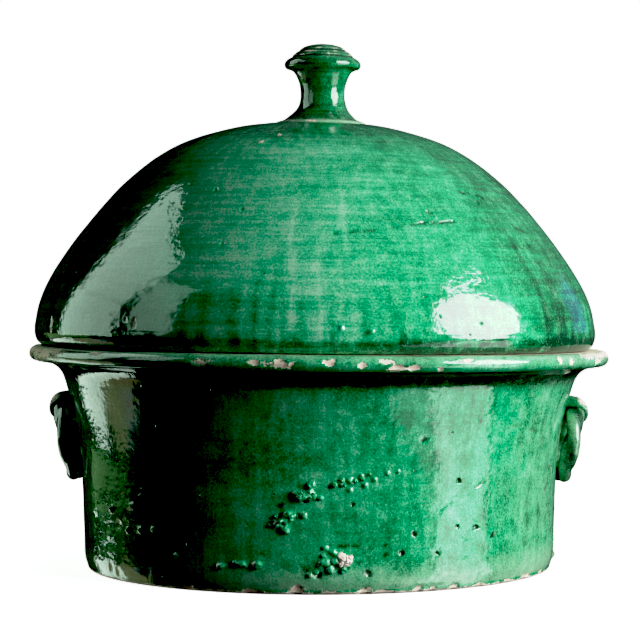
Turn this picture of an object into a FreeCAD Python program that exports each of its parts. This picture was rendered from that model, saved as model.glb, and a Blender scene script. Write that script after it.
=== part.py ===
import FreeCAD, Part
import math
import os
from FreeCAD import Vector

# Covered casserole dish of glazed earthenware, in millimetres.
# +Z is up and the origin is the centre of the flat foot. The two ring handles lie on the X axis.
# The pot and the lid are the two loose pieces. The knob is luted to the lid; rings, lugs and stuck
# crumbs of clay are luted or fused to the pot. Each is its own solid, meeting its neighbour face to face.

# Pot
FOOT_RADIUS = 152.4
FOOT_ROUND = 3.0                     # worn edge between the foot and the wall
WALL_THICKNESS = 8.0
FLOOR_THICKNESS = 10.0
WALL_OUTLINE = ((154.6, 26.0), (155.9, 50.0), (158.0, 82.0), (161.4, 101.0))   # radius, height
WALL_TOP = (167.0, 121.0)            # radius and height where the hollow under the rim starts

# Rim flange, and the collar that stands inside the lid
RIM_RADIUS = 190.0
RIM_THICKNESS = 9.6
SEAT_HEIGHT = 144.0                  # top face of the flange, where the lid rests
NOSE_DEPTH = 4.4                     # how far the rounded nose stands out past the flat faces
HOLLOW_MIDDLE = (172.6, 130.4)       # a point on the hollow curve under the flange
COLLAR_OUTER = 167.0
COLLAR_INNER = 160.0
COLLAR_HEIGHT = 8.0
COLLAR_FILLET = 2.0                  # where the collar rises from the flange

# Lid
LID_SHIFT = -2.7                     # the lid rests this far along X in the play round the collar
LID_LIFT_GAP = 0.2                   # keeps the lid's edge clear of the seat
LID_THICKNESS = 7.0
LID_HEIGHT = 292.6                   # top of the dome under the knob
LID_OUTLINE = ((52.0, 288.3), (90.3, 276.0), (123.6, 252.4),
               (152.0, 220.6), (173.8, 188.8), (181.2, 172.0))
LID_WIDEST = (184.2, 157.0)
LID_ROLL_MIDDLE = (182.2, 148.8)     # a point on the rolled edge under the widest place
LID_EDGE_INNER = 171.6               # inner radius of the thick resting edge
LID_EDGE_OUTER = 176.0               # outer radius of the flat that rests on the seat
LID_EDGE_HEIGHT = 22.0               # height over which the thick edge thins to the dome

# Knob: outlines are radius and height
KNOB_SHIFT = 5.0                     # the knob stands this far along X from the lid's own axis
KNOB_FOOT_RADIUS = 30.4
KNOB_FOOT_HEIGHT = 292.2
KNOB_STEM = ((20.6, 297.2), (16.1, 302.0), (14.5, 312.0), (15.8, 322.0), (18.9, 326.6), (23.8, 328.4))
KNOB_CAP_RADIUS = 25.2
KNOB_CAP_HEIGHT = 331.0
KNOB_TIERS = ((20.4, 336.0), (14.6, 340.2))   # outer edge of each step on top of the cap
KNOB_STEP = 0.9                      # height of each step
KNOB_TOP = 345.4
KNOB_CROWN_FALL = 1.3                # how far the top has fallen halfway out to the last step

# Ring handles
RING_RADIUS = 22.5                   # of the ring's centre line
RING_TUBE = 5.7
RING_TOP = (169.6, 104.5)            # X and Z of the centre line at its top
RING_FOOT = (161.0, 60.4)            # and at its bottom, where it is bedded on the wall
LUG_TUBE = 10.3                      # outer radius of the strap folded over the ring
LUG_WIDTH = 22.0
LUG_ROOT_DEPTH = 12.0                # how far the strap's root runs back towards the wall
LUG_ROOT_EASE = 1.0                  # how much lower than the fold the root is, above and below

# Crumbs of clay fused to the front wall: X, Z, radius
CRUMBS = ((14.4, 20.8, 4.2), (17.6, 17.4, 3.0), (-7.6, 60.6, 3.4), (-3.4, 63.4, 2.8),
          (-18.4, 47.8, 3.2), (18.4, 68.4, 2.2))
CRUMB_SINK = 0.55                    # share of a crumb's width that is below the wall's surface

AXIS_FOOT = Vector(0, 0, 0)
UP = Vector(0, 0, 1)
BACK = Vector(0, 1, 0)


def at(radius, height):
    """A point of an outline, in the XZ plane."""
    return Vector(radius, 0, height)


def line(a, b):
    return Part.LineSegment(a, b).toShape()


def arc(a, middle, b):
    return Part.Arc(a, middle, b).toShape()


def spline(points, start=None, end=None):
    curve = Part.BSplineCurve()
    if start is None:
        curve.interpolate(Points=points)
    else:
        curve.interpolate(Points=points, InitialTangent=start, FinalTangent=end)
    return curve


def beside(curve, distance, count):
    """Points at a distance to the left of a curve, as it is walked with X to the right and Z up."""
    points = []
    for i in range(count + 1):
        u = curve.FirstParameter + (curve.LastParameter - curve.FirstParameter) * i / count
        along = curve.tangent(u)[0]
        points.append(curve.value(u) + along.cross(BACK).normalize() * distance)
    return points


def turned(edges):
    """The solid that a closed outline sweeps about the Z axis."""
    face = Part.Face(Part.Wire(edges))
    return face.revolve(AXIS_FOOT, UP, 360)


def pot_body():
    """Foot, wall, flange and collar, thrown as one piece."""
    foot = at(FOOT_RADIUS - FOOT_ROUND, 0)
    wall_foot = at(FOOT_RADIUS, FOOT_ROUND)
    bend = math.sqrt(0.5)            # cosine and sine at the middle of a quarter arc
    corner = FOOT_ROUND * (1 - bend)
    outer = spline([wall_foot] + [at(*p) for p in WALL_OUTLINE] + [at(*WALL_TOP)])
    under = SEAT_HEIGHT - RIM_THICKNESS
    flat_edge = RIM_RADIUS - NOSE_DEPTH
    middle = SEAT_HEIGHT - RIM_THICKNESS / 2
    collar_top = SEAT_HEIGHT + COLLAR_HEIGHT
    collar_middle = (COLLAR_OUTER + COLLAR_INNER) / 2
    round_start = collar_top - (COLLAR_OUTER - COLLAR_INNER) / 2
    fillet_low = COLLAR_FILLET * (1 - bend)
    inner_start = at(WALL_OUTLINE[0][0] - WALL_THICKNESS, WALL_OUTLINE[0][1])
    inner_points = [p for p in beside(outer, WALL_THICKNESS, 6) if p.z > inner_start.z + WALL_THICKNESS]
    inner = spline([inner_start] + inner_points
                   + [at(COLLAR_INNER, SEAT_HEIGHT - 4), at(COLLAR_INNER, round_start)])
    fillet = inner_start.z - FLOOR_THICKNESS
    floor_edge = at(inner_start.x - fillet, FLOOR_THICKNESS)
    fillet_middle = at(floor_edge.x + fillet * bend, FLOOR_THICKNESS + fillet * (1 - bend))
    edges = [
        line(AXIS_FOOT, foot),
        arc(foot, at(FOOT_RADIUS - corner, corner), wall_foot),
        outer.toShape(),
        arc(at(*WALL_TOP), at(*HOLLOW_MIDDLE), at(flat_edge, under)),
        arc(at(flat_edge, under), at(RIM_RADIUS, middle), at(flat_edge, SEAT_HEIGHT)),
        line(at(flat_edge, SEAT_HEIGHT), at(COLLAR_OUTER + COLLAR_FILLET, SEAT_HEIGHT)),
        arc(
            at(COLLAR_OUTER + COLLAR_FILLET, SEAT_HEIGHT),
            at(COLLAR_OUTER + fillet_low, SEAT_HEIGHT + fillet_low),
            at(COLLAR_OUTER, SEAT_HEIGHT + COLLAR_FILLET),
        ),
        line(at(COLLAR_OUTER, SEAT_HEIGHT + COLLAR_FILLET), at(COLLAR_OUTER, round_start)),
        arc(at(COLLAR_OUTER, round_start), at(collar_middle, collar_top), at(COLLAR_INNER, round_start)),
        inner.toShape(),
        arc(inner_start, fillet_middle, floor_edge),
        line(floor_edge, at(0, FLOOR_THICKNESS)),
        line(at(0, FLOOR_THICKNESS), AXIS_FOOT),
    ]
    return turned(edges)


def lid_outer_curve():
    points = [at(0, LID_HEIGHT)] + [at(*p) for p in LID_OUTLINE] + [at(*LID_WIDEST)]
    return spline(points, Vector(1, 0, 0), Vector(0, 0, -1))


def lid_dome():
    """The domed lid with its thick, rolled resting edge."""
    outer = lid_outer_curve()
    rest = SEAT_HEIGHT + LID_LIFT_GAP
    edge_top = rest + LID_EDGE_HEIGHT
    inner_points = [p for p in beside(outer, -LID_THICKNESS, 9) if p.z > edge_top]
    inner_points[0] = at(0, LID_HEIGHT - LID_THICKNESS)
    inner_low = at(LID_EDGE_INNER, rest + LID_EDGE_HEIGHT / 3)
    inner = spline(inner_points + [inner_low], Vector(1, 0, 0), Vector(0, 0, -1))
    widest = at(*LID_WIDEST)
    roll_middle = at(*LID_ROLL_MIDDLE)
    edges = [
        outer.toShape(),
        arc(widest, roll_middle, at(LID_EDGE_OUTER, rest)),
        line(at(LID_EDGE_OUTER, rest), at(LID_EDGE_INNER, rest)),
        line(at(LID_EDGE_INNER, rest), inner_low),
        inner.toShape(),
        line(inner_points[0], at(0, LID_HEIGHT)),
    ]
    dome = turned(edges)
    dome.translate(Vector(LID_SHIFT, 0, 0))
    return dome


def knob_top_edges(start):
    """The domed top of the cap, in steps that each rise out of a groove."""
    edges = []
    for radius, height in KNOB_TIERS:
        groove = at(radius, height - KNOB_STEP)
        lip = at(radius, height)
        edges += [line(start, groove), line(groove, lip)]
        start = lip
    crown = at(KNOB_TIERS[-1][0] / 2, KNOB_TOP - KNOB_CROWN_FALL)
    return edges + [spline([start, crown, at(0, KNOB_TOP)]).toShape()]


def lid_knob(dome):
    """The knob, thrown on its own and luted to the top of the dome."""
    root = KNOB_FOOT_HEIGHT - LID_THICKNESS / 2
    foot_low = at(KNOB_FOOT_RADIUS, root)
    foot = at(KNOB_FOOT_RADIUS, KNOB_FOOT_HEIGHT - KNOB_STEP)
    foot_top = at(KNOB_FOOT_RADIUS - KNOB_STEP, KNOB_FOOT_HEIGHT)
    cap_under = at(*KNOB_STEM[-1])
    cap_over = at(KNOB_TIERS[0][0] + KNOB_STEP, KNOB_TIERS[0][1] - KNOB_STEP)
    stem = spline([foot_top] + [at(*p) for p in KNOB_STEM])
    edges = [
        line(at(0, root), foot_low),
        line(foot_low, foot),
        line(foot, foot_top),
        stem.toShape(),
        arc(cap_under, at(KNOB_CAP_RADIUS, KNOB_CAP_HEIGHT), cap_over),
    ]
    edges += knob_top_edges(cap_over)
    edges.append(line(at(0, KNOB_TOP), at(0, root)))
    knob = turned(edges)
    knob.translate(Vector(LID_SHIFT + KNOB_SHIFT, 0, 0))
    return knob.cut(dome)


def ring_frame():
    """Centre of the ring on the +X side, and the direction square to its plane."""
    top, foot = at(*RING_TOP), at(*RING_FOOT)
    across = (top - foot).normalize()
    return (top + foot) * 0.5, across.cross(BACK)


def handle(pot):
    """The ring and the strap folded over it, on the +X side."""
    centre, square = ring_frame()
    ring = Part.makeTorus(RING_RADIUS, RING_TUBE, centre, square)
    sleeve = Part.makeTorus(RING_RADIUS, LUG_TUBE, centre, square)
    top = at(*RING_TOP)
    reach = 2 * RING_RADIUS
    corner = Vector(top.x - RING_RADIUS, -LUG_WIDTH / 2, centre.z + RING_RADIUS / 3)
    fold = sleeve.common(Part.makeBox(reach, LUG_WIDTH, reach, corner))
    root_height = 2 * (LUG_TUBE - LUG_ROOT_EASE)
    root_corner = Vector(top.x - LUG_ROOT_DEPTH, -LUG_WIDTH / 2, top.z - root_height / 2)
    lug = fold.fuse(Part.makeBox(LUG_ROOT_DEPTH, LUG_WIDTH, root_height, root_corner))
    lug = lug.cut(pot).cut(ring)
    return ring.cut(pot), lug


def crumbs(pot):
    """Small lumps of clay that the glaze has fused to the front wall."""
    lumps = []
    for x, height, radius in CRUMBS:
        wall_radius = FOOT_RADIUS + (WALL_OUTLINE[2][0] - FOOT_RADIUS) * height / WALL_OUTLINE[2][1]
        out = radius * (1 - 2 * CRUMB_SINK)
        y = -math.sqrt(wall_radius ** 2 - x ** 2) - out
        lumps.append(Part.makeSphere(radius, Vector(x, y, height), Vector(x, y, 0)))
    return lumps[0].multiFuse(lumps[1:]).cut(pot)


def save(name, shape):
    solids = Part.makeCompound(shape.Solids)
    solids.exportStep("parts/" + name + ".step")
    print("%-20s solids %d, valid %s, %.1f cm3" % (
        name, len(solids.Solids), solids.isValid(), solids.Volume / 1000))


def main():
    os.makedirs("parts", exist_ok=True)
    pot = pot_body()
    dome = lid_dome()
    knob = lid_knob(dome)
    ring, lug = handle(pot)
    save("pot_body", pot)
    save("right_ring_handle", ring)
    save("right_handle_lug", lug)
    save("left_ring_handle", ring.mirror(AXIS_FOOT, Vector(1, 0, 0)))
    save("left_handle_lug", lug.mirror(AXIS_FOOT, Vector(1, 0, 0)))
    save("fused_crumbs", crumbs(pot))
    save("lid_dome", dome)
    save("lid_knob", knob)


main()
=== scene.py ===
import math
import random
import bmesh
import bpy
from mathutils import Matrix, Quaternion, Vector, kdtree, noise


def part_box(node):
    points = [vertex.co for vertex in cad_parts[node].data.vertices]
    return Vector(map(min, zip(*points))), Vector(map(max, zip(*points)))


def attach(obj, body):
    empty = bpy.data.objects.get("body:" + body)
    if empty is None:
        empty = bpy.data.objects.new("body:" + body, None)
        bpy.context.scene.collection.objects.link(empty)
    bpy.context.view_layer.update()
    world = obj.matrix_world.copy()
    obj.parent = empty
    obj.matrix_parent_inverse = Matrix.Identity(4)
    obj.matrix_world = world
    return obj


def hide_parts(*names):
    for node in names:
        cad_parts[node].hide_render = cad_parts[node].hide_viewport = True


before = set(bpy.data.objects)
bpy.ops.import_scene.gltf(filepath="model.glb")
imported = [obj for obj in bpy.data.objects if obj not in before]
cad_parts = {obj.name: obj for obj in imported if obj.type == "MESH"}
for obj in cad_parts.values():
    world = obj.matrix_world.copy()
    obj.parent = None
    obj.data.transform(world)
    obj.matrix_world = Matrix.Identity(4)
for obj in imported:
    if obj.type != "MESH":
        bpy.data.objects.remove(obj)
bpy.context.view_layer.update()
mm = 0.001


def clamp(value, low=0.0, high=1.0):
    return max(low, min(high, value))


def smoothStep(low, high, value):
    t = clamp((value - low) / (high - low))
    return t * t * (3 - 2 * t)


def shortTurn(degrees):
    return (degrees + 180) % 360 - 180


def between(table, value):  # straight lines between the pairs of a table
    for (a, first), (b, second) in zip(table, table[1:]):
        if value <= b:
            return first + (second - first) * clamp((value - a) / (b - a))
    return table[-1][1]


def linearColour(hexText):
    channels = [int(hexText[i:i + 2], 16) / 255 for i in (1, 3, 5)]
    return [c / 12.92 if c <= 0.04045 else ((c + 0.055) / 1.055) ** 2.4 for c in channels] + [1.0]


def straight(start, end, gap):
    count = max(1, round(math.dist(start, end) / gap))
    return [(start[0] + (end[0] - start[0]) * i / count, start[1] + (end[1] - start[1]) * i / count)
            for i in range(count + 1)]


def quarter(centre, radius, startDegrees, endDegrees, count):
    angles = [math.radians(startDegrees + (endDegrees - startDegrees) * i / count) for i in range(count + 1)]
    return [(centre[0] + radius * math.cos(a), centre[1] + radius * math.sin(a)) for a in angles]


def bend(points, gap):  # a smooth line through a few points, sampled about every gap
    before = tuple(2 * a - b for a, b in zip(points[0], points[1]))
    after = tuple(2 * a - b for a, b in zip(points[-1], points[-2]))
    p = [before] + list(points) + [after]
    line = [points[0]]
    for i in range(1, len(p) - 2):
        near = p[i - 1:i + 3]
        knots = [0.0]
        for a, b in zip(near, near[1:]):
            knots.append(knots[-1] + math.dist(a, b) ** 0.5)
        count = max(1, round(math.dist(p[i], p[i + 1]) / gap))
        for step in range(1, count + 1):
            line.append(throughFour(near, knots, knots[1] + (knots[2] - knots[1]) * step / count))
    return line


def throughFour(p, k, t):  # the smooth line's place at t, from four points and their knots
    def mix(a, b, ka, kb):
        w = (t - ka) / (kb - ka)
        return tuple(u + (v - u) * w for u, v in zip(a, b))
    first, middle, last = (mix(p[i], p[i + 1], k[i], k[i + 1]) for i in range(3))
    return mix(mix(first, middle, k[0], k[2]), mix(middle, last, k[1], k[3]), k[1], k[2])


def turnOnWheel(outline, steps):
    # outline is a list of (name, points in mm), from the axis back to the axis
    bm = bmesh.new()
    along = bm.verts.layers.float.new("along")
    stretch = bm.verts.layers.int.new("stretch")
    verts, travelled = [], 0.0
    for index, (name, points) in enumerate(outline):
        for r, z in points:
            place = Vector((r * mm, 0, z * mm))
            if verts and (verts[-1].co - place).length < 0.02 * mm:
                continue
            travelled += (verts[-1].co - place).length if verts else 0.0
            vert = bm.verts.new(place)
            vert[along] = travelled
            vert[stretch] = index
            verts.append(vert)
    edges = [bm.edges.new(pair) for pair in zip(verts, verts[1:])]
    bmesh.ops.spin(bm, geom=verts + edges, cent=(0, 0, 0), axis=(0, 0, 1), angle=2 * math.pi,
                   steps=steps, use_merge=True)
    bmesh.ops.remove_doubles(bm, verts=bm.verts[:], dist=0.002 * mm)
    bmesh.ops.recalc_face_normals(bm, faces=bm.faces[:])
    return bm


def finerNear(bm, spots, cuts):  # spots are (place, reach): faces there are cut smaller, for small marks
    tree = kdtree.KDTree(len(bm.verts))
    bm.verts.ensure_lookup_table()
    for index, vert in enumerate(bm.verts):
        tree.insert(vert.co, index)
    tree.balance()
    near = set()
    for place, reach in spots:
        near.update(index for _, index, _ in tree.find_range(place, reach))
    edges = {e for index in near for e in bm.verts[index].link_edges}
    bmesh.ops.subdivide_edges(bm, edges=list(edges), cuts=cuts, use_grid_fill=True)


def frontAngle(place):  # degrees from the front of the dish, turning towards +X
    return math.degrees(math.atan2(place.x, -place.y))


def onWall(angleDegrees, height, radius):  # mm
    a = math.radians(angleDegrees)
    return Vector((radius * math.sin(a), -radius * math.cos(a), height)) * mm


def pressMarks(place, marks):
    # mm outwards, and how bare, where chips, pits and lumps have marked the surface
    angle, height, radius = frontAngle(place), place.z / mm, place.xy.length / mm
    outwards, bare = 0.0, 0.0
    for markAngle, markHeight, halfWidth, halfHeight, out, chipped in marks:
        up = (height - markHeight) / halfHeight
        if abs(up) > 2.2:
            continue
        across = math.radians(shortTurn(angle - markAngle)) * radius / halfWidth
        if abs(across) > 2.2:
            continue
        d = math.hypot(across, up) + 0.6 * noise.noise(place * 330) + 0.5 * noise.noise(place * 900)
        if chipped:
            outwards += out * (1 - smoothStep(0.7, 1.1, d))
            bare = max(bare, chipped * (1.3 - d * 0.8))
        else:
            outwards += 1.6 * out * math.exp(-1.5 * d ** 4)
    return outwards, bare


def pressLines(place, lines):  # mm outwards along scratches and tool marks
    angle, height, radius = frontAngle(place), place.z / mm, place.xy.length / mm
    turn = math.pi / 180 * radius
    outwards = 0.0
    for (a1, z1), (a2, z2), halfWidth, out in lines:
        if abs(height - (z1 + z2) / 2) > abs(z1 - z2) / 2 + 3 * halfWidth:
            continue
        end = Vector((shortTurn(a2 - a1) * turn, z2 - z1))
        here = Vector((shortTurn(angle - a1) * turn, height - z1))
        t = clamp(here.dot(end) / end.length_squared)
        d = (here - end * t).length / halfWidth
        if d < 3:
            outwards += out * math.exp(-d * d) * (0.6 + 0.7 * noise.noise(place * 260))
    return outwards


def throwingMarks(place, along):  # mm that the wheel and the hand left on the surface
    a = math.atan2(place.y, place.x)
    c, s = math.cos(a), math.sin(a)
    rings = noise.noise(Vector((0.5 * c, 0.5 * s, along / 0.0062)))
    swell = noise.noise(Vector((1.9 * c + 7, 1.9 * s, along / 0.045)))
    dimples = noise.noise(Vector((9 * c, 9 * s + 3, along / 0.016)))
    return 0.05 * rings + 0.32 * swell + 0.12 * dimples


def outOfRound(place):  # mm
    a = math.atan2(place.y, place.x)
    return 0.25 * math.sin(2 * a + 0.9) + 0.15 * math.sin(3 * a + 2.2)


# the dish leaned a little as it was fired: metres sunk per metre towards +X, in full from this height
kiln = {"sunk": 0.0105, "fullHeight": 0.12}


def kilnWarp(bm):
    for vert in bm.verts:
        vert.co.z -= kiln["sunk"] * vert.co.x * smoothStep(0.0, kiln["fullHeight"], vert.co.z)


def surfaceLayers(bm):  # painted amounts that the glaze reads, and the wheel's own layers if it was used
    layers = {name: bm.verts.layers.float.new(name) for name in ("bare", "thin", "flow", "drip")}
    layers["turned"] = bm.verts.layers.float_vector.new("turned")
    for name, kind in (("along", bm.verts.layers.float), ("stretch", bm.verts.layers.int)):
        layers[name] = kind.get(name)
    return layers


def unrolled(place, along, radius=0.16):  # a place on the unrolled surface, without a seam
    a = math.atan2(place.y, place.x)
    return Vector((radius * math.cos(a), radius * math.sin(a), along))


def paint(vert, layers, turned, **amounts):
    vert[layers["turned"]] = turned
    for name, amount in amounts.items():
        vert[layers[name]] = amount


def glazeInside(bm, layers, names, inside):  # the second material goes on faces wholly inside
    for face in bm.faces:
        kinds = {names[v[layers["stretch"]]] for v in face.verts}
        face.material_index = 1 if kinds <= inside else 0


def addObject(name, data):
    thing = bpy.data.objects.new(name, data)
    bpy.context.collection.objects.link(thing)
    return thing


def finishPiece(name, bm, body, nodes, materials):
    kilnWarp(bm)
    mesh = bpy.data.meshes.new(name)
    bm.to_mesh(mesh)
    bm.free()
    mesh.shade_smooth()
    piece = addObject(name, mesh)
    for material in materials:
        mesh.materials.append(material)
    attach(piece, body)
    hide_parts(*nodes)
    print(name, len(mesh.polygons), "faces")
    return piece


def addNode(tree, kind, inputs, **settings):
    node = tree.nodes.new(kind)
    for key, value in settings.items():
        setattr(node, key, value)
    for key, value in inputs.items():
        if isinstance(value, bpy.types.NodeSocket):
            tree.links.new(value, node.inputs[key])
        else:
            node.inputs[key].default_value = value
    return node


def newMaterial(name):
    material = bpy.data.materials.new(name)
    material.use_nodes = True
    tree = material.node_tree
    return material, tree, tree.nodes["Principled BSDF"]


def lumps(tree, coords, perMetre, detail, roughness=0.55):
    # noise whose lumps are about one over perMetre across along each axis
    scaled = addNode(tree, "ShaderNodeMapping", {"Vector": coords, "Scale": perMetre})
    return addNode(tree, "ShaderNodeTexNoise", {
        "Vector": scaled.outputs[0], "Scale": 1.0, "Detail": detail, "Roughness": roughness}).outputs["Fac"]


def total(tree, parts, start=0.0):  # start plus each part times its weight
    running = start
    for part, weight in parts:
        running = addNode(tree, "ShaderNodeMath", {0: part, 1: weight, 2: running},
                          operation="MULTIPLY_ADD").outputs[0]
    return running


def ramp(tree, value, stops):
    node = addNode(tree, "ShaderNodeValToRGB", {"Fac": value})
    elements = node.color_ramp.elements
    while len(elements) < len(stops):
        elements.new(0.5)
    for element, (place, colour) in zip(elements, stops):
        element.position = place
        element.color = linearColour(colour) if isinstance(colour, str) else (colour, colour, colour, 1)
    return node.outputs["Color"]


def blend(tree, amount, first, second):
    return addNode(tree, "ShaderNodeMix", {0: amount, 6: first, 7: second}, data_type="RGBA").outputs[2]


def painted(tree, name, output="Fac"):
    return addNode(tree, "ShaderNodeAttribute", {}, attribute_name=name).outputs[output]


def addBump(tree, shader, height, distance):
    bump = addNode(tree, "ShaderNodeBump", {"Height": height, "Distance": distance, "Strength": 1.0})
    tree.links.new(bump.outputs[0], shader.inputs["Normal"])


def leadGlaze(name, look):
    # A runny lead glaze brushed over white slip on red earthenware: glassy, with hard-edged
    # reflections; thin and pale on edges, deep where it pools, and pitted where it chipped.
    # the painted amounts that it reads also carry painted shade and a painted sheen
    material, tree, shader = newMaterial(name)
    coords = painted(tree, "turned", "Vector")
    thin, bare, flow, drip = (painted(tree, key) for key in ("thin", "bare", "flow", "drip"))
    brush = lumps(tree, coords, (16, 16, 330), 4, 0.6)     # strokes 3 mm apart and 60 mm long
    hair = lumps(tree, coords, (40, 40, 900), 2)           # bristle lines inside a stroke
    run = lumps(tree, coords, (170, 170, 13), 3)           # runs 6 mm wide and 75 mm long
    tear = lumps(tree, coords, (380, 380, 60), 3, 0.65)    # tears 2.6 mm wide and 17 mm long
    cloud = lumps(tree, coords, (24, 24, 32), 4)           # patches about 40 mm across
    blotch = lumps(tree, coords, (120, 120, 110), 4, 0.65)  # blotches about 9 mm across
    grain = lumps(tree, coords, (900, 900, 800), 3, 0.75)  # grain of the slip, 1.2 mm and finer
    cells = addNode(tree, "ShaderNodeTexVoronoi", {"Vector": coords, "Scale": 62.0})
    pinhole = ramp(tree, cells.outputs["Distance"], [(0.02, 1.0), (0.05, 0.0)])  # 16 mm apart, 1.2 mm wide
    weights = look["weights"]
    evenly = {"brush": brush, "hair": hair, "cloud": cloud, "blotch": blotch, "grain": grain}
    parts = [(socket, weights[key]) for key, socket in evenly.items()]
    falling = total(tree, [(run, weights["run"]), (tear, weights["tear"])])
    runs = addNode(tree, "ShaderNodeMath", {0: falling, 1: drip}, operation="MULTIPLY").outputs[0]
    parts += [(runs, 1.0), (drip, -0.5 * (weights["run"] + weights["tear"])), (flow, 1.0), (pinhole, -0.25)]
    tone = total(tree, parts, 0.5 - 0.5 * sum(weights[key] for key in evenly))
    glaze = ramp(tree, tone, look["tones"])
    palePatch = total(tree, [(thin, 1.0), (blotch, 0.8), (grain, 0.9)], -0.9)
    paleAmount = ramp(tree, palePatch, [(0.05, 0.0), (0.8, 1.0)])
    glaze = blend(tree, paleAmount, glaze, linearColour(look["thinColour"]))
    bareEdge = total(tree, [(bare, 1.0), (grain, 1.1), (blotch, 0.9)], -1.0)
    slipTone = total(tree, [(grain, 0.9), (blotch, 0.5), (bareEdge, -0.34)], 0.2)
    slipAndClay = ramp(tree, slipTone, [(0.22, "#a8705c"), (0.36, "#e6bfa9"), (0.46, "#fae6d2"),
                                        (0.7, "#fff5df")])
    bareAmount = ramp(tree, bareEdge, [(0.46, 0.0), (0.53, 1.0)])
    tree.links.new(blend(tree, bareAmount, glaze, slipAndClay), shader.inputs["Base Color"])
    gloss = total(tree, [(blotch, 0.06), (bareAmount, 0.5)], look["roughness"] - 0.03)
    tree.links.new(gloss, shader.inputs["Roughness"])
    shader.inputs["IOR"].default_value = 1.62              # lead glass
    peel = lumps(tree, coords, (240, 240, 260), 2)         # orange peel, 4 mm
    swell = lumps(tree, coords, (70, 70, 110), 2)          # uneven thickness, 10 mm
    height = total(tree, [(brush, 0.05), (hair, 0.006), (peel, 0.14), (swell, 0.34), (grain, 0.014),
                          (runs, 0.12), (pinhole, -0.3), (bareAmount, -0.12)])
    addBump(tree, shader, height, mm)
    return material


def bareClay(name):
    # Fired earthenware without glaze: matt, gritty and pink-cream, with darker patches at random.
    material, tree, shader = newMaterial(name)
    coords = addNode(tree, "ShaderNodeTexCoord", {}).outputs["Object"]
    tone = lumps(tree, coords, (350, 350, 350), 5, 0.7)    # 3 mm patches with fine grit
    tree.links.new(ramp(tree, tone, [(0.34, "#7d5142"), (0.4, "#ebd0c0"), (0.5, "#fff3e8")]),
                   shader.inputs["Base Color"])
    shader.inputs["Roughness"].default_value = 0.75
    grit = lumps(tree, coords, (900, 900, 900), 3)
    addBump(tree, shader, grit, 0.5 * mm)
    return material


copperGreen = {
    # how strongly each pattern darkens or lightens the glaze
    "weights": {"brush": 0.5, "hair": 0.18, "run": 0.8, "tear": 0.4, "cloud": 0.42, "blotch": 0.46,
                "grain": 0.85},
    "tones": [(0.1, "#04452a"), (0.33, "#07804f"), (0.5, "#16ad74"), (0.66, "#4cc794"), (0.9, "#a6e2c2")],
    "thinColour": "#a9d6b2", "roughness": 0.055,
}
# the pot was dipped, so its glaze is cloudier and shows less of the brush than the lid's
dippedGreen = dict(copperGreen, weights={
    "brush": 0.2, "hair": 0.08, "run": 0.7, "tear": 0.6, "cloud": 0.6, "blotch": 0.55, "grain": 0.95})
honey = dict(copperGreen, thinColour="#e3c78a", tones=[
    (0.1, "#6b3d12"), (0.35, "#9c6420"), (0.55, "#c08a38"), (0.8, "#dcb468")])
greenGlaze = leadGlaze("copperGreenLeadGlaze", copperGreen)
dippedGlaze = leadGlaze("dippedCopperGreenLeadGlaze", dippedGreen)
honeyGlaze = leadGlaze("honeyLeadGlaze", honey)
clay = bareClay("bareEarthenware")
print("finishes made")


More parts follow.
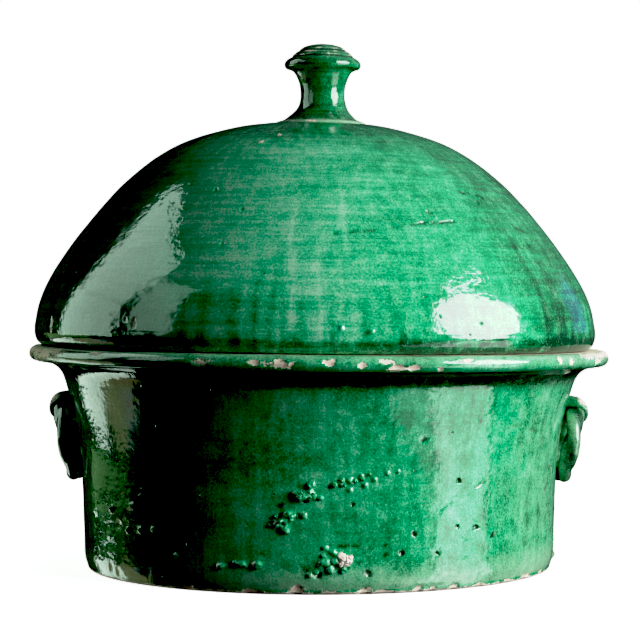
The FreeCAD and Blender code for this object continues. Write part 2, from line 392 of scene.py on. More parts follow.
pot = {
    "steps": 432, "footRadius": 152.4, "footRound": 2.2, "floor": 10.0,
    "wall": [(152.4, 2.2), (154.1, 8.0), (154.8, 26.0), (155.6, 50.0), (157.0, 74.0), (158.2, 84.0),
             (161.4, 101.0), (167.0, 121.0)],
    "hollow": [(167.0, 121.0), (169.2, 126.4), (172.6, 130.4), (178.2, 133.3), (185.6, 134.4)],
    "nose": (185.4, 139.2, 4.8),  # centre radius, centre height and radius of the rim's rounded edge
    "seatStart": 169.0, "collarOuter": 167.0, "collarInner": 160.0, "collarTop": 152.0,
    "inside": [(160.0, 148.5), (160.0, 138.0), (157.6, 118.0), (153.2, 98.0), (150.0, 82.0),
               (147.9, 50.0), (146.6, 26.0)],
    # marks: angle, height, half width, half height, mm outwards, how bare; the front ones are placed
    "rimMarks": [(-6.8, 138.8, 8.6, 3.2, -0.6, 0.8), (-11.5, 139.2, 2.8, 1.7, -0.5, 1.0),
                 (-21.5, 139.0, 7.5, 2.6, -0.4, 0.62), (1.8, 139.6, 4.2, 2.2, -0.8, 1.0),
                 (7.6, 138.4, 3.0, 1.7, -0.6, 1.0), (12.2, 141.0, 5.4, 1.7, -0.4, 0.8),
                 (14.2, 136.8, 5.4, 1.7, -0.9, 1.1), (17.0, 137.2, 3.4, 1.8, -0.8, 1.1),
                 (22.3, 136.0, 2.2, 1.5, -0.6, 1.0), (27.4, 141.4, 5.2, 1.3, -0.3, 0.75),
                 (51.0, 140.8, 2.6, 2.2, -0.6, 0.9), (55.0, 139.8, 2.2, 2.4, -0.6, 0.9),
                 (-45.7, 142.0, 5.0, 1.2, -0.4, 0.8), (-58.7, 142.6, 4.0, 1.5, -0.4, 0.8),
                 (-66.0, 141.6, 6.0, 1.5, -0.5, 0.9)],
    "footMarks": [(-31.9, 1.2, 5.0, 2.2, -0.7, 1.0), (-24.5, 1.4, 4.0, 2.2, -0.6, 1.0),
                  (-15.0, 1.0, 7.0, 2.0, -0.6, 1.0), (-4.9, 1.6, 4.6, 4.4, -1.0, 1.0),
                  (2.0, 0.8, 6.0, 1.6, -0.5, 1.0), (10.7, 1.6, 3.4, 4.0, -0.9, 1.0),
                  (15.0, 0.9, 7.0, 1.8, -0.5, 1.0), (23.2, 1.2, 3.0, 3.0, -0.8, 1.0),
                  (27.1, 1.2, 2.6, 1.8, -0.6, 1.0), (32.8, 1.2, 3.0, 2.4, -0.7, 1.0),
                  (40.4, 1.0, 4.0, 1.8, -0.5, 1.0), (50.0, 1.0, 5.0, 1.8, -0.5, 1.0)],
    "wallMarks": [(-4.1, 58.9, 3.0, 2.8, 2.6, 0), (-5.0, 61.3, 2.0, 1.8, 1.4, 0),
                  (-1.9, 61.4, 2.6, 2.2, 2.2, 0), (-1.3, 66.8, 2.0, 1.8, 1.3, 0),
                  (0.3, 58.5, 1.8, 1.8, 1.3, 0), (-2.9, 56.6, 2.2, 1.4, -1.5, 0),
                  (-9.0, 42.7, 3.4, 2.6, 1.6, 0), (-7.4, 39.6, 3.0, 2.4, 1.4, 0),
                  (-7.4, 45.2, 3.2, 2.6, 1.7, 0), (-6.1, 47.6, 2.8, 2.4, 2.1, 0),
                  (-3.4, 48.0, 1.8, 2.2, 1.3, 0), (-8.2, 42.0, 1.8, 1.4, -1.4, 0),
                  (4.8, 67.4, 2.4, 1.8, 1.2, 0), (6.8, 68.5, 2.2, 1.8, 1.3, 0),
                  (6.9, 63.3, 1.6, 1.4, 0.8, 0), (9.2, 70.8, 1.8, 1.6, 0.9, 0),
                  (10.1, 66.0, 1.8, 1.8, 1.0, 0), (12.3, 69.2, 1.6, 1.4, 0.8, 0),
                  (15.2, 72.8, 1.6, 1.6, 0.9, 0), (17.5, 73.9, 1.3, 1.4, 0.7, 0),
                  (3.1, 26.1, 2.4, 2.2, 1.0, 0), (1.4, 19.5, 3.4, 2.6, 1.6, 0),
                  (1.4, 28.6, 2.0, 1.8, 1.0, 0), (-0.2, 12.3, 2.4, 1.8, -1.2, 0),
                  (3.6, 21.4, 2.2, 2.6, 1.4, 0), (2.5, 15.4, 3.0, 2.2, 1.3, 0),
                  (-2.0, 12.4, 2.4, 1.8, 1.0, 0), (2.7, 120.0, 1.6, 1.4, 0.9, 0),
                  (7.5, 54.1, 1.6, 1.5, -0.5, 0), (23.4, 92.8, 1.5, 1.4, -1.0, 0),
                  (32.8, 67.0, 1.5, 1.4, -1.0, 0), (27.5, 23.5, 1.6, 1.5, -1.0, 0),
                  (32.8, 39.1, 1.2, 1.1, -0.8, 0), (37.4, 103.2, 1.4, 1.8, -0.8, 0),
                  (38.1, 37.6, 2.4, 1.2, -0.9, 0), (21.8, 35.7, 1.7, 1.6, -0.8, 0),
                  (18.8, 24.6, 1.9, 1.6, -0.7, 0), (11.0, 13.1, 2.8, 1.8, -0.9, 0),
                  (-17.8, 18.1, 4.0, 1.8, 1.2, 0), (-22.2, 16.3, 3.4, 1.6, 1.0, 0),
                  (-13.6, 18.4, 3.2, 2.2, 1.2, 0), (-56.1, 44.3, 2.4, 2.2, 1.0, 0),
                  (-49.6, 33.4, 1.8, 2.0, 1.0, 0), (-45.1, 34.4, 1.6, 1.6, 0.9, 0),
                  (-40.7, 35.4, 1.6, 1.6, 0.9, 0)],
    "wallLines": [((0.3, 30.4), (11.8, 28.5), 0.8, -0.6), ((42.0, 104.5), (45.5, 99.0), 0.9, 0.5),
                  ((45.0, 97.5), (50.5, 99.5), 0.8, -0.5), ((50.0, 101.5), (54.0, 97.5), 0.9, 0.5),
                  ((54.0, 97.0), (58.5, 94.5), 0.9, -0.5), ((58.0, 92.0), (64.5, 90.5), 0.9, 0.5),
                  ((37.5, 62.5), (41.0, 66.0), 0.8, -0.6), ((40.0, 64.5), (43.0, 66.5), 0.7, 0.5),
                  ((42.5, 70.5), (46.5, 74.0), 0.7, 0.4)],
    # small lumps and pits low on the wall, and chips out of sight of the front
    "scattered": 90, "scatterSeed": 5,
    "markRadius": {"wall": 156.5, "lines": 158, "rim": 188.8, "foot": 151.8},
    # how worn the rim's edge is, by angle
    "rimWear": [(-180, 0.5), (-120, 0.75), (-90, 1.1), (-62, 1.1), (-50, 1.0), (-38, 0.8), (-30, 0.3),
                (-24, 0.3), (-15, 0.2), (0, 0.25), (20, 0.4), (30, 0.55), (50, 0.6), (60, 0.8), (80, 0.9),
                (120, 0.6), (180, 0.5)],
}


def potOutline(p):
    foot, rounding = p["footRadius"], p["footRound"]
    noseR, noseZ, noseRadius = p["nose"]
    seat = noseZ + noseRadius
    lip = (p["collarOuter"] - p["collarInner"]) / 2
    lipCentre = (p["collarInner"] + lip, p["collarTop"] - lip)
    collar = quarter((p["seatStart"], seat + 2), 2, -90, -180, 3) + quarter(lipCentre, lip, 0, 180, 8)
    inside = p["inside"]
    fillet = inside[-1][1] - p["floor"]
    filletCentre = (inside[-1][0] - fillet, inside[-1][1])
    return [
        ("foot", straight((0, 0), (foot - rounding, 0), 12)),
        ("footEdge", quarter((foot - rounding, rounding), rounding, -90, 0, 5)),
        ("wall", bend(p["wall"], 1.9)),
        ("hollow", bend(p["hollow"], 1.2)),
        ("nose", quarter((noseR, noseZ), noseRadius, -90, 90, 18)),
        ("seat", straight((noseR, seat), (p["seatStart"], seat), 2.4)),
        ("collar", collar),
        ("inside", bend(inside, 4) + quarter(filletCentre, fillet, 0, -90, 7)),
        ("floor", straight((filletCentre[0], p["floor"]), (0, p["floor"]), 13)),
    ]


def scatterMarks(count, seed):
    rng = random.Random(seed)
    wall, rim, foot = [], [], []
    for _ in range(count):
        size = rng.uniform(0.9, 2.2)
        height = 6 + 62 * rng.random() ** 1.5
        wall.append((rng.uniform(-180, 180), height, size, size * rng.uniform(0.7, 1.2),
                     rng.choice((-0.5, -0.7, 0.5, 0.8)) * size * 0.5, 0))
    for _ in range(count // 5):
        rim.append((rng.uniform(68, 292), rng.uniform(136.5, 142), rng.uniform(2, 7), rng.uniform(1.4, 2.8),
                    -rng.uniform(0.4, 0.9), 1.0))
        foot.append((rng.uniform(55, 305), 1.3, rng.uniform(2.5, 7), rng.uniform(1.6, 3.4),
                     -rng.uniform(0.5, 0.9), 1.0))
    return wall, rim, foot


def spotsOf(marks, radius):
    return [(onWall(angle, height, radius), max(2.5, max(w, h) * 1.5) * mm)
            for angle, height, w, h, _, _ in marks]


def spotsAlong(lines, radius):
    return [(onWall(a1 + shortTurn(a2 - a1) * i / 6, z1 + (z2 - z1) * i / 6, radius), 3 * mm)
            for (a1, z1), (a2, z2), _, _ in lines for i in range(7)]


def shapePotVert(vert, layers, names, rimMarks, footMarks, wallMarks):
    place, kind = vert.co.copy(), names[vert[layers["stretch"]]]
    angle, z = frontAngle(place), place.z / mm
    bare, thin, out, flow, drip = 0.0, 0.0, 0.0, 0.0, 0.25
    if kind in ("wall", "hollow"):
        out = throwingMarks(place, vert[layers["along"]]) * smoothStep(4, 16, z) * 0.9
        marked = pressMarks(place, wallMarks)[0] + pressLines(place, pot["wallLines"])
        out += marked
        flow = 0.7 * min(0.0, marked) - 0.5 * smoothStep(121, 129, z)  # glaze pools dark in the pits; the hollow under the rim is painted darker, as painted shade
        thin = 0.5 * (1 - smoothStep(3, 24, z)) + 0.09 * math.exp(-((z - 60) / 60) ** 2)
        # painted light: the right side, where the key light falls, is painted paler, like a sheen
        thin += 0.2 * smoothStep(36, 58, angle) * (1 - smoothStep(110, 150, angle))
        drip = 0.4 + 0.25 * smoothStep(10, 60, abs(angle - 10))
    if kind == "nose":
        pressed, bare = pressMarks(place, rimMarks)
        out += pressed + 0.25 * noise.noise(place * 60)
        top = (z - pot["nose"][1]) / pot["nose"][2]
        wear = between(pot["rimWear"], shortTurn(angle))
        thin = clamp(0.02 + 0.55 * wear + 0.25 * top)
        rightEnd = smoothStep(50, 64, angle) * smoothStep(-0.5, 0.7, top)
        bare = max(bare, 0.62 * rightEnd * (1 - smoothStep(110, 150, angle)))
        bare = max(bare, (0.52 + 0.16 * top) * smoothStep(-44, -62, angle))
    if kind == "footEdge" or (kind == "wall" and z < 12):
        pressed, chipped = pressMarks(place, footMarks)
        out += pressed
        bare = max(bare, chipped, 0.95 - z * 0.3)
    if kind == "foot":
        bare = 1.2
    if kind == "seat":
        bare = 0.5 + 0.5 * smoothStep(187.0, 183, place.xy.length / mm)
    if kind == "collar":
        bare = 0.9
    if kind == "inside":
        bare = 0.9 * smoothStep(144, 148, z)
    vert.co += vert.normal * out * mm
    if kind != "floor":
        vert.co += Vector((place.x, place.y, 0)).normalized() * outOfRound(place) * mm
    turned = unrolled(place, vert[layers["along"]])
    paint(vert, layers, turned, bare=bare, thin=thin, flow=flow, drip=drip)


def makePot():
    outline = potOutline(pot)
    bm = turnOnWheel(outline, pot["steps"])
    names = [name for name, _ in outline]
    otherWall, otherRim, otherFoot = scatterMarks(pot["scattered"], pot["scatterSeed"])
    wallMarks = pot["wallMarks"] + otherWall
    rimMarks = pot["rimMarks"] + otherRim
    footMarks = pot["footMarks"] + otherFoot
    radius = pot["markRadius"]
    finerNear(bm, spotsOf(pot["wallMarks"], radius["wall"]), 2)
    edgeSpots = spotsOf(rimMarks, radius["rim"]) + spotsOf(footMarks, radius["foot"])
    finerNear(bm, edgeSpots + spotsAlong(pot["wallLines"], radius["lines"]), 1)
    bm.normal_update()
    layers = surfaceLayers(bm)
    for vert in bm.verts:
        shapePotVert(vert, layers, names, rimMarks, footMarks, wallMarks)
    glazeInside(bm, layers, names, {"inside", "floor"})
    finishPiece("pot_thrown", bm, "pot", ["pot_body"], [dippedGlaze, honeyGlaze])


makePot()


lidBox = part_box("lid_dome")
lid = {
    "steps": 432, "axisX": (lidBox[0][0] + lidBox[1][0]) / 2,
    "dome": [(0.0, 292.6), (25.0, 291.6), (52.0, 288.3), (90.3, 276.0), (123.6, 252.4), (152.0, 220.6),
             (173.8, 188.8), (181.2, 172.0), (184.2, 157.0)],
    "roll": [(184.2, 157.0), (184.1, 152.0), (182.6, 147.6), (180.0, 145.0), (176.0, 144.2)],
    "inside": [(171.6, 144.2), (171.6, 151.5), (170.6, 160.0), (166.2, 180.0), (146.4, 216.4),
               (118.4, 247.6), (86.9, 269.8), (50.6, 281.4), (24.0, 284.8), (0.0, 285.6)],
    "marks": [(-36.0, 161.0, 1.8, 3.6, -0.8, 0.8), (-38.2, 162.9, 1.4, 1.6, -0.5, 0),
              (-63.4, 158.6, 2.0, 5.0, -0.3, 0.75), (-19.9, 208.7, 1.3, 1.6, -0.5, 0),
              (-26.7, 242.8, 1.2, 1.2, -0.5, 0), (-17.3, 230.0, 1.2, 1.2, -0.5, 0),
              (28.9, 229.8, 3.0, 1.2, -0.35, 0), (29.9, 226.6, 2.0, 1.2, 0.4, 0),
              (27.7, 223.6, 1.6, 1.1, 0.35, 0), (46.6, 236.8, 1.4, 1.2, -0.5, 0),
              (57.1, 211.3, 1.2, 1.6, -0.4, 0), (60.7, 230.5, 1.4, 1.2, 0.5, 0),
              (-20.3, 273.7, 1.5, 1.2, 0.5, 0.8), (-14.9, 278.6, 1.6, 1.0, 0.4, 0.8),
              (5.0, 160.0, 1.5, 2.0, 0.7, 0), (10.2, 158.0, 2.0, 1.6, 0.8, 0),
              (24.0, 167.0, 1.0, 1.0, -0.5, 0), (33.0, 163.0, 0.9, 0.9, -0.6, 0)],
    "lines": [((4.5, 215.8), (13.6, 218.6), 1.1, -0.85), ((18.0, 220.2), (26.2, 222.9), 1.0, -0.76),
              ((25.5, 222.8), (34.5, 224.2), 1.0, -0.85), ((37.5, 245.4), (42.7, 242.2), 1.2, 1.04),
              ((41.5, 243.4), (46.2, 243.1), 1.1, -1.14), ((45.0, 242.8), (49.5, 239.6), 1.2, 1.04),
              ((48.5, 241.8), (53.0, 239.0), 1.1, -1.04), ((51.5, 239.6), (56.5, 235.4), 1.2, 0.95),
              ((43.0, 238.0), (47.5, 236.6), 1.0, 0.85), ((56.0, 224.0), (59.5, 219.5), 1.0, -0.76)],
    # how much paler the glaze is painted, by angle: partly the glaze's own paler streaks and partly painted
    # light, lighter at the front and darker on the right, where the key light falls strongest
    "paleGlazeAndLight": [(-180, 0.0), (-60, 0.0), (-30, 0.15), (5, 0.15), (18, 0.07), (36, 0.02), (48, -0.08),
                 (70, -0.15), (100, 0.0), (180, 0.0)],
    # runs of the glaze: angle, top, bottom, half width, darker or lighter; the last, widest one is painted
    # shade on the lower right of the dome, where the key light falls strongest
    "runs": [(-25.5, 186, 146, 3.6, -0.17), (-20.9, 190, 146, 3.0, -0.14), (-15.0, 184, 146, 4.0, -0.14),
             (-10.8, 196, 148, 2.0, -0.12), (-7.6, 214, 150, 1.5, -0.1), (-4.6, 234, 160, 2.2, 0.12),
             (-2.0, 178, 150, 1.8, -0.10), (0.9, 214, 158, 1.6, 0.1), (3.8, 182, 148, 1.6, -0.1),
             (9.3, 178, 150, 2.0, -0.13), (14.4, 184, 150, 1.8, -0.12), (16.9, 172, 148, 1.4, -0.12),
             (6.9, 250, 200, 1.8, 0.1), (21.0, 170, 148, 1.6, -0.12), (56.0, 196, 150, 26.0, -0.1)],
    "scatteredRuns": 34, "scatterSeed": 8,
    "outOfRoundRadius": 184,
}


def lidOutline(p):
    return [
        ("dome", bend(p["dome"], 2.1)),
        ("roll", bend(p["roll"], 0.9)),
        ("rest", straight(p["roll"][-1], p["inside"][0], 1.5)),
        ("inside", bend(p["inside"], 5.5)),
    ]


def glazeRuns(place, runs):
    angle, z, radius = frontAngle(place), place.z / mm, place.xy.length / mm
    tone = 0.0
    for runAngle, top, bottom, halfWidth, amount in runs:
        across = math.radians(shortTurn(angle - runAngle)) * radius
        across += 2.5 * noise.noise(Vector((runAngle, z / 26, 0)))
        if abs(across) < 3 * halfWidth:
            reach = smoothStep(top + 8, top - 16, z) * smoothStep(bottom - 4, bottom + 6, z)
            tone += amount * reach * math.exp(-(across / halfWidth) ** 2)
    return tone


def shapeLidVert(vert, layers, names, otherRuns):
    place, kind = vert.co.copy(), names[vert[layers["stretch"]]]
    z = place.z / mm
    bare, thin, out, flow, drip = 0.0, 0.08, 0.0, 0.0, 0.0
    if kind in ("dome", "roll"):
        out = throwingMarks(place, vert[layers["along"]]) * smoothStep(146, 156, z)
        pressed, bare = pressMarks(place, lid["marks"])
        pressed += pressLines(place, lid["lines"])
        out += pressed
        edge = noise.noise(Vector((place.x, place.y, 0)) * 110)
        flow = 0.4 * min(0.0, pressed) + 1.25 * glazeRuns(place, lid["runs"] + otherRuns)
        # painted shade: the rolled lower edge of the dome is painted darker
        flow -= 0.3 * smoothStep(156 + 5 * edge, 150 + 5 * edge, z)
        # paler glaze and painted light by angle, below the top of the dome
        flow += between(lid["paleGlazeAndLight"], frontAngle(place)) * smoothStep(284, 262, z)
        flow -= 0.08 * smoothStep(262, 284, z)
        patch = clamp(0.6 + 1.4 * noise.noise(Vector((place.x, place.y, 0)) * 22))
        drip = (0.1 + 0.9 * smoothStep(215, 165, z)) * patch
    if kind == "rest":
        bare = 1.1
    if kind == "inside":
        thin = 0.3
        bare = 1.1 * (1 - smoothStep(145, 150, z))
    vert.co += vert.normal * out * mm
    vert.co += Vector((place.x, place.y, 0)) * outOfRound(place) / lid["outOfRoundRadius"]
    turned = unrolled(place, vert[layers["along"]])
    paint(vert, layers, turned, bare=bare, thin=thin, flow=flow, drip=drip)


def lidRadius(height):
    return between([(z, r) for r, z in reversed(lid["dome"])], height)


def makeLid():
    outline = lidOutline(lid)
    bm = turnOnWheel(outline, lid["steps"])
    names = [name for name, _ in outline]
    rng = random.Random(lid["scatterSeed"])
    otherRuns = [(rng.uniform(32, 320), rng.uniform(168, 225), 148, rng.uniform(1.4, 3.4),
                  rng.choice((-0.13, -0.09, 0.09))) for _ in range(lid["scatteredRuns"])]
    spots = [(onWall(angle, height, lidRadius(height)), max(3.0, max(w, h) * 1.5) * mm)
             for angle, height, w, h, _, _ in lid["marks"]]
    for line in lid["lines"]:
        spots += spotsAlong([line], lidRadius(line[0][1]))
    finerNear(bm, spots, 2)
    bm.normal_update()
    layers = surfaceLayers(bm)
    for vert in bm.verts:
        shapeLidVert(vert, layers, names, otherRuns)
    bmesh.ops.translate(bm, verts=bm.verts[:], vec=(lid["axisX"], 0, 0))
    glazeInside(bm, layers, names, {"inside"})
    finishPiece("lid_thrown", bm, "lid", ["lid_dome"], [greenGlaze, honeyGlaze])


makeLid()


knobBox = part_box("lid_knob")
knob = {
    "steps": 176, "axisX": (knobBox[0][0] + knobBox[1][0]) / 2,
    "stem": [(0, 288.6), (30.4, 289.4), (30.0, 291.6), (27.6, 292.9), (24.6, 294.0), (20.6, 297.2),
             (16.9, 301.2), (15.2, 305.4), (14.4, 311.0), (15.0, 316.8), (16.6, 321.8), (19.2, 326.2),
             (22.4, 327.9)],
    "cap": [(22.4, 327.9), (24.4, 328.6), (25.2, 330.6), (24.6, 332.6), (22.6, 334.4), (21.0, 335.2),
            (20.2, 335.7), (19.7, 336.7), (18.0, 338.2), (16.4, 339.4), (15.4, 339.9), (14.7, 340.8),
            (12.6, 342.3), (9.4, 343.5), (5.6, 344.2), (0.0, 344.5)],
    # heights of the edges that wear pale and of the grooves where glaze pools, and their widths
    "crests": (336.7, 338.6, 341.0), "crestWidth": 0.5,
    "grooves": (335.6, 339.8), "grooveWidth": 0.45,
    "footEdges": (292.0,), "footEdgeWidth": 1.4,
    "footAside": 1.6,  # mm that the foot lies off the knob's axis
}


def ridge(z, heights, width):  # 1 at any of the heights, fading over the width
    return max(math.exp(-((z - h) / width) ** 2) for h in heights)


def makeKnob():
    outline = [("stem", bend(knob["stem"], 0.9)), ("cap", bend(knob["cap"], 0.5))]
    bm = turnOnWheel(outline, knob["steps"])
    bm.normal_update()
    layers = surfaceLayers(bm)
    for vert in bm.verts:
        place, z = vert.co.copy(), vert.co.z / mm
        out = 0.25 * noise.noise(place * 70) + 0.1 * noise.noise(place * 300)
        vert.co += vert.normal * out * mm
        wear = 0.5 + 0.9 * noise.noise(place * 190)
        crest = ridge(z, knob["crests"], knob["crestWidth"])
        groove = ridge(z, knob["grooves"], knob["grooveWidth"])
        footEdge = ridge(z, knob["footEdges"], knob["footEdgeWidth"])
        # the knob is painted darker all over, as painted shade, and darker still in its grooves where the
        # glaze pools
        paint(vert, layers, unrolled(place, vert[layers["along"]], 0.02),
              thin=0.05 + 0.7 * crest * wear + 0.8 * footEdge,
              bare=0.75 * crest * wear + 0.45 * footEdge * wear, flow=-0.4 * groove - 0.18)
        vert.co.x += knob["footAside"] * mm * (smoothStep(290, 306, z) - 1)
    bmesh.ops.translate(bm, verts=bm.verts[:], vec=(knob["axisX"], 0, 0))
    finishPiece("knob_turned", bm, "lid", ["lid_knob"], [greenGlaze])


makeKnob()


handle = {
    "ringRadius": 22.5, "ringSteps": 168, "ropeSides": 28,
    "strandRadius": 4.5, "strandOffset": 1.5, "turns": 2.5,  # two strands twisted together
    "ringTop": (169.6, 104.5), "ringFoot": (161.0, 60.4),
    "strap": [(-8.6, 9.4), (-3.5, 9.0), (3.4, 7.8), (8.0, 2.6), (8.2, -2.6), (4.2, -7.4), (-2.0, -9.0),
              (-9.5, -9.0)],
    "strapThickness": 4.0, "strapSweep": 58, "strapSteps": 14,
    "paleRadius": 3.2, "paleOver": 2.9,  # the rope wears paler from this radius out, over this many mm; below it the rope is painted darker, as painted shade in the grooves between its strands
}


def handleFrame():
    top = Vector((handle["ringTop"][0], 0, handle["ringTop"][1])) * mm
    foot = Vector((handle["ringFoot"][0], 0, handle["ringFoot"][1])) * mm
    up = (top - foot).normalized()
    return top, (top + foot) / 2, up, up.cross(Vector((0, 1, 0))).normalized()


def ropeRadius(psi):  # outline of two round strands side by side
    a, offset = handle["strandRadius"], handle["strandOffset"]
    return offset * abs(math.cos(psi)) + math.sqrt(a * a - (offset * math.sin(psi)) ** 2)


def makeRing(side, name, node):
    _, centre, up, square = handleFrame()
    bm = bmesh.new()
    start = Matrix((up, square, Vector((0, 1, 0)))).transposed().to_4x4()
    start.translation = centre + up * handle["ringRadius"] * mm
    made = bmesh.ops.create_circle(bm, segments=handle["ropeSides"], radius=mm, matrix=start)
    edges = list({e for v in made["verts"] for e in v.link_edges})
    bmesh.ops.spin(bm, geom=made["verts"] + edges, cent=centre, axis=square, angle=2 * math.pi,
                   steps=handle["ringSteps"], use_merge=True)
    bmesh.ops.remove_doubles(bm, verts=bm.verts[:], dist=0.001 * mm)
    layers = surfaceLayers(bm)
    for vert in bm.verts:
        away = vert.co - centre
        theta = math.atan2(away.y, away.dot(up))
        spoke = up * math.cos(theta) + Vector((0, 1, 0)) * math.sin(theta)
        middle = centre + spoke * handle["ringRadius"] * mm
        local = vert.co - middle
        phi = math.atan2(local.dot(square), local.dot(spoke))
        r = ropeRadius(phi - handle["turns"] * theta)
        r *= 1 + 0.06 * noise.noise(Vector((3 * math.cos(theta), 3 * math.sin(theta), side)))
        vert.co = middle + local.normalized() * r * mm
        crest = (r - handle["paleRadius"]) / handle["paleOver"]
        # painted shade: the rope is darker in the grooves between its strands and darker all over; its
        # crests wear paler
        paint(vert, layers, vert.co.copy(), thin=0.05 + 0.45 * crest ** 3, flow=0.6 * (crest - 1.0) - 0.2)
    placeBySide(bm, side)
    finishPiece(name, bm, "pot", [node], [greenGlaze])


def placeBySide(bm, side):
    bmesh.ops.scale(bm, verts=bm.verts[:], vec=(side, 1, 1))
    bmesh.ops.recalc_face_normals(bm, faces=bm.faces[:])


def makeStrap(side, name, node):
    top, centre, _, square = handleFrame()
    bm = bmesh.new()
    verts = [bm.verts.new(top + Vector((x, 0, z)) * mm) for x, z in bend(handle["strap"], 1.6)]
    edges = [bm.edges.new(pair) for pair in zip(verts, verts[1:])]
    half = math.radians(handle["strapSweep"] / 2)
    bmesh.ops.rotate(bm, verts=verts, cent=centre, matrix=Matrix.Rotation(-half, 3, square))
    bmesh.ops.spin(bm, geom=verts + edges, cent=centre, axis=square, angle=2 * half,
                   steps=handle["strapSteps"], use_merge=False)
    bmesh.ops.recalc_face_normals(bm, faces=bm.faces[:])
    if sum(f.normal.dot(f.calc_center_median() - top) for f in bm.faces) < 0:
        bmesh.ops.reverse_faces(bm, faces=bm.faces[:])
    bmesh.ops.solidify(bm, geom=bm.faces[:], thickness=handle["strapThickness"] * mm)
    bmesh.ops.recalc_face_normals(bm, faces=bm.faces[:])
    layers = surfaceLayers(bm)
    for vert in bm.verts:
        vert.co += vert.normal * 0.5 * mm * noise.noise(vert.co * 130)
        worn = noise.noise(vert.co * 70)
        # painted shade: the strap is painted darker all over; its pale and bare patches are wear
        paint(vert, layers, vert.co.copy(), thin=0.3 + 0.5 * worn, bare=0.42 + 0.7 * worn, flow=-0.2)
    placeBySide(bm, side)
    piece = finishPiece(name, bm, "pot", [node], [greenGlaze])
    rounding = piece.modifiers.new("roundedEdges", "SUBSURF")
    rounding.levels = rounding.render_levels = 2


for sideName, side in (("right", 1), ("left", -1)):
    makeRing(side, sideName + "_rope_ring", sideName + "_ring_handle")
    makeStrap(side, sideName + "_strap", sideName + "_handle_lug")


crumbs = {
    # angle, height and radius of each lump; the wall is a little under their middles
    "bare": [(5.2, 22.6, 3.0), (6.3, 21.0, 3.0), (4.7, 20.0, 2.7), (5.9, 18.6, 2.0), (7.1, 22.9, 1.7),
             (4.0, 22.0, 1.5), (5.0, 24.9, 1.4)],
    "glazed": [(5.4, 15.4, 2.5), (6.5, 17.2, 1.5), (-3.9, 61.2, 2.2), (-2.9, 60.2, 2.9), (-2.0, 58.9, 2.2),
               (-1.9, 66.0, 1.9), (-1.1, 59.8, 1.8), (-6.9, 48.4, 2.4), (-9.4, 47.0, 1.4), (-8.1, 44.6, 1.5),
               (-10.6, 41.6, 1.3), (3.3, 66.2, 1.9), (5.2, 68.9, 1.5), (5.6, 66.7, 1.4), (8.0, 68.6, 1.4),
               (9.6, 69.6, 1.2), (11.2, 72.6, 1.2), (0.2, 18.4, 2.0), (1.0, 24.0, 1.5), (-0.6, 14.6, 1.8)],
    "wall": (154.6, 26, 0.055),  # its radius at a height, and how much wider it gets for each mm up
}


def addLump(bm, angle, height, radius, seed):
    wallRadius, wallHeight, slope = crumbs["wall"]
    place = onWall(angle, height, wallRadius + (height - wallHeight) * slope)
    made = bmesh.ops.create_icosphere(bm, subdivisions=4, radius=radius * mm,
                                      matrix=Matrix.Translation(place))
    for vert in made["verts"]:
        away = vert.co - place
        lump = 0.4 * noise.noise(away * 420 + Vector((seed, 0, 0))) + 0.22 * noise.noise(away * 1200)
        vert.co = place + away * (1 + lump)


def makeCrumbs():
    bm = bmesh.new()
    for seed, (angle, height, radius) in enumerate(crumbs["bare"]):
        addLump(bm, angle, height, radius, seed)
    bareCount = len(bm.faces)
    for seed, (angle, height, radius) in enumerate(crumbs["glazed"]):
        addLump(bm, angle, height, radius, seed + 20)
    for index, face in enumerate(bm.faces):
        face.material_index = 0 if index < bareCount else 1
    layers = surfaceLayers(bm)
    for vert in bm.verts:
        paint(vert, layers, vert.co.copy(), thin=0.1)
    finishPiece("stuck_crumbs", bm, "pot", ["fused_crumbs"], [clay, greenGlaze])


makeCrumbs()


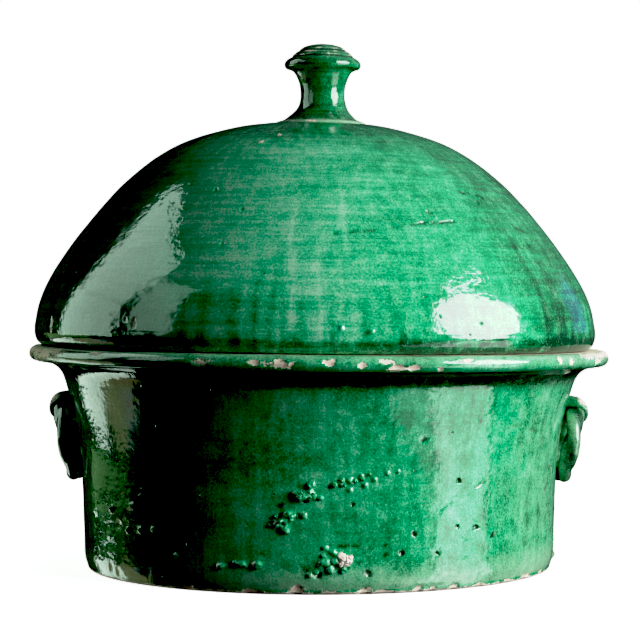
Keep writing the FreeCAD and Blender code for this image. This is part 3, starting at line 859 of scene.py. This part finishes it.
studio = {
    "camera": {"distance": 1.47, "height": 0.1825, "pitch": 0.80, "lens": 124.65, "aside": 0.0008},
    "lightDistance": 1.6, "lightsAim": 0.15,  # metres from, and height of, the place they all point at
    "leaning": {"tableGlowEdge": -35},  # degrees that a light is turned in its own plane
    # degrees from the front towards +X, elevation, half width, half height; radiance, colour, shape, and
    # whether it makes reflections or lights the matt side of things
    "lights": [
        ("keySoftbox", 67, 16, 19, 21, 13.5, "#ffffff", "ELLIPSE", "gloss"),
        ("keyWash", 60, 17, 19, 21, 11.5, "#ffffff", "ELLIPSE", "diffuse"),
        ("keyReflector", 75, 41, 10, 1.8, 11.0, "#ffffff", "RECTANGLE", "gloss"),
        ("tableGlow", 69, -24, 14, 15, 3.8, "#f4fff6", "RECTANGLE", "gloss"),
        ("tableGlowEdge", 52.5, -22, 8, 19, 1.5, "#f4fff6", "RECTANGLE", "gloss"),
        ("leftSoftbox", -100, 38, 16.5, 14, 3.3, "#dcffea", "RECTANGLE", "gloss"),
        ("leftSoftboxFoot", -101, 9, 18, 14.6, 3.3, "#dcffea", "RECTANGLE", "gloss"),
        ("leftPanel", -66, 21, 10, 21, 2.0, "#dcffea", "RECTANGLE", "gloss"),
        ("leftTable", -125, -28, 11, 15, 3.4, "#e4ffec", "RECTANGLE", "gloss"),
        ("leftTableFar", -103, -26, 11, 13, 1.0, "#eef2c4", "ELLIPSE", "gloss"),
        ("leftTableEnd", -93, -20, 5, 5, 0.35, "#a0c4ff", "ELLIPSE", "gloss"),
        ("leftTableNear", -116, -7, 20, 4.2, 0.7, "#c8ffb8", "RECTANGLE", "gloss"),
        ("leftWash", -118, -12, 16, 16, 2.0, "#fff0cc", "RECTANGLE", "diffuse"),
        ("rightWindow", 132, 10, 8, 9, 0.8, "#70a8ff", "RECTANGLE", "gloss"),
        ("backWash", 180, 0, 30, 16, 3.0, "#ffffff", "RECTANGLE", "diffuse"),
        ("topWash", 0, 89, 28, 28, 0.16, "#ffffff", "RECTANGLE", "diffuse"),
    ],
    "paleWall": (112, 42),  # which way a pale wall stands, seen only in reflections
    "dimAir": (0.015, 0.016, 0.016, 1), "backdrop": (1.62, 1.62, 1.62, 1),
    "floorRadius": 14, "floorGlow": [(0.17, 0.74), (0.3, 0.81)],  # brighter away from the foot
    # the view's hard contrast, with its highlights held back
    "black": 0.035, "white": 1.6,
    "contrast": [(0.2, 0.32), (0.375, 0.6), (0.5, 0.72), (0.69, 0.81), (0.86, 0.88)],
}


def heading(azimuth, elevation):
    a, e = math.radians(azimuth), math.radians(elevation)
    return Vector((math.sin(a) * math.cos(e), -math.cos(a) * math.cos(e), math.sin(e)))


def makeCamera(c):
    data = bpy.data.cameras.new("camera")
    data.lens = c["lens"]
    data.sensor_width = 36
    data.clip_start, data.clip_end = 0.05, 60
    camera = addObject("camera", data)
    camera.location = (c["aside"], -c["distance"], c["height"])
    camera.rotation_euler = (math.radians(90 - c["pitch"]), 0, 0)
    bpy.context.scene.camera = camera


def makeLight(name, azimuth, elevation, halfWide, halfHigh, radiance, colour, shape, does):
    data = bpy.data.lights.new(name, "AREA")
    data.shape = shape
    data.size = 2 * studio["lightDistance"] * math.tan(math.radians(halfWide))
    data.size_y = 2 * studio["lightDistance"] * math.tan(math.radians(halfHigh))
    data.color = linearColour(colour)[:3]
    data.energy = radiance * math.pi * data.size * data.size_y * (math.pi / 4 if shape == "ELLIPSE" else 1)
    light = addObject(name, data)
    away = heading(azimuth, elevation)
    light.location = Vector((0, 0, studio["lightsAim"])) + away * studio["lightDistance"]
    lean = Quaternion((0, 0, 1), math.radians(studio["leaning"].get(name, 0)))
    light.rotation_euler = (away.to_track_quat("Z", "Y") @ lean).to_euler()
    light.visible_camera = False
    light.visible_diffuse = does != "gloss"
    light.visible_glossy = does != "diffuse"


def makeFloor():
    bm = bmesh.new()
    bmesh.ops.create_circle(bm, cap_ends=True, segments=64, radius=studio["floorRadius"])
    mesh = bpy.data.meshes.new("floor")
    bm.to_mesh(mesh)
    bm.free()
    floor = addObject("floor", mesh)
    # Matt white paper, bright enough to lose the light's edge on it
    material, tree, shader = newMaterial("whitePaper")
    shader.inputs["Base Color"].default_value = linearColour("#c8c8c6")
    shader.inputs["Roughness"].default_value = 0.9
    shader.inputs["Emission Color"].default_value = (2, 2, 2, 1)
    coords = addNode(tree, "ShaderNodeTexCoord", {}).outputs["Object"]
    away = addNode(tree, "ShaderNodeVectorMath", {0: coords}, operation="LENGTH").outputs["Value"]
    tree.links.new(ramp(tree, away, studio["floorGlow"]), shader.inputs["Emission Strength"])
    mesh.materials.append(material)
    floor.visible_diffuse = False
    floor.visible_glossy = False
    floor.visible_shadow = False


def makeWorld():
    world = bpy.data.worlds.new("studioAir")
    bpy.context.scene.world = world
    world.use_nodes = True
    tree = world.node_tree
    direction = addNode(tree, "ShaderNodeTexCoord", {}).outputs["Generated"]
    facing = addNode(tree, "ShaderNodeVectorMath", {0: direction, 1: heading(*studio["paleWall"])},
                     operation="DOT_PRODUCT")
    wall = ramp(tree, facing.outputs["Value"], [(0.35, 0.01), (0.7, 0.22), (0.97, 0.55)])
    rays = addNode(tree, "ShaderNodeLightPath", {}).outputs
    air = blend(tree, rays["Is Glossy Ray"], studio["dimAir"], wall)
    seen = blend(tree, rays["Is Camera Ray"], air, studio["backdrop"])
    tree.links.new(seen, tree.nodes["Background"].inputs["Color"])


def setView():
    view = bpy.context.scene.view_settings
    view.view_transform = "Standard"
    view.use_curve_mapping = True
    curve = view.curve_mapping
    curve.black_level = [studio["black"]] * 3
    curve.white_level = [studio["white"]] * 3
    for x, y in studio["contrast"]:
        curve.curves[3].points.new(x, y)
    curve.update()


makeCamera(studio["camera"])
for settings in studio["lights"]:
    makeLight(*settings)
makeFloor()
makeWorld()
setView()
print("studio lit")
